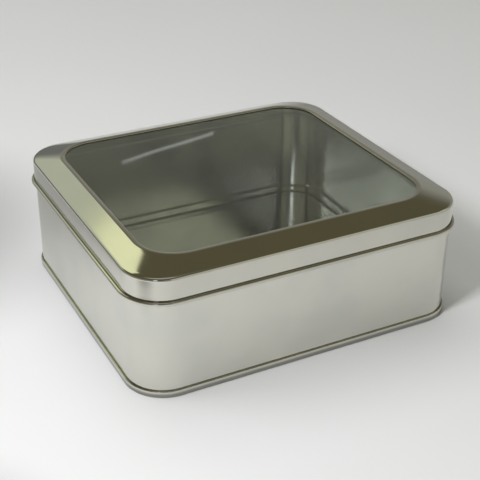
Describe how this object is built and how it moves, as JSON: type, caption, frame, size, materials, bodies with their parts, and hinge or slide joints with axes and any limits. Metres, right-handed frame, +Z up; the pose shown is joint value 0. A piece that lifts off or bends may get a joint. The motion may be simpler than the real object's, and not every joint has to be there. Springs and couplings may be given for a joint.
{
  "type": "window lid tin",
  "caption": "Low rounded-corner tinplate box with a seamed base and a lift-off slip lid whose sloping frame holds a large clear window.",
  "frame": {"origin": "middle of the flat ring that the tin stands on", "axes": "+X along the long sides to the right, +Y to the back, +Z up through the window"},
  "size_m": [0.159, 0.145, 0.0588],
  "materials": {
    "body_tinplate": "satin tinplate, lacquered",
    "base_tinplate": "satin tinplate",
    "lid_tinplate": "satin tinplate, lacquered",
    "clear_plastic": "clear, glossy",
    "inner_tinplate": "satin tinplate"
  },
  "bodies": {
    "tin": {"body_wall": "body_tinplate", "base_panel": "base_tinplate"},
    "lid": {"lid_frame": "lid_tinplate", "window_pane": "clear_plastic", "inner_frame": "inner_tinplate"}
  },
  "joints": [
    {"name": "lid_lift", "type": "slide", "parent": "tin", "child": "lid", "axis": [0, 0, 1], "range_m": [0, 0.03]}
  ]
}
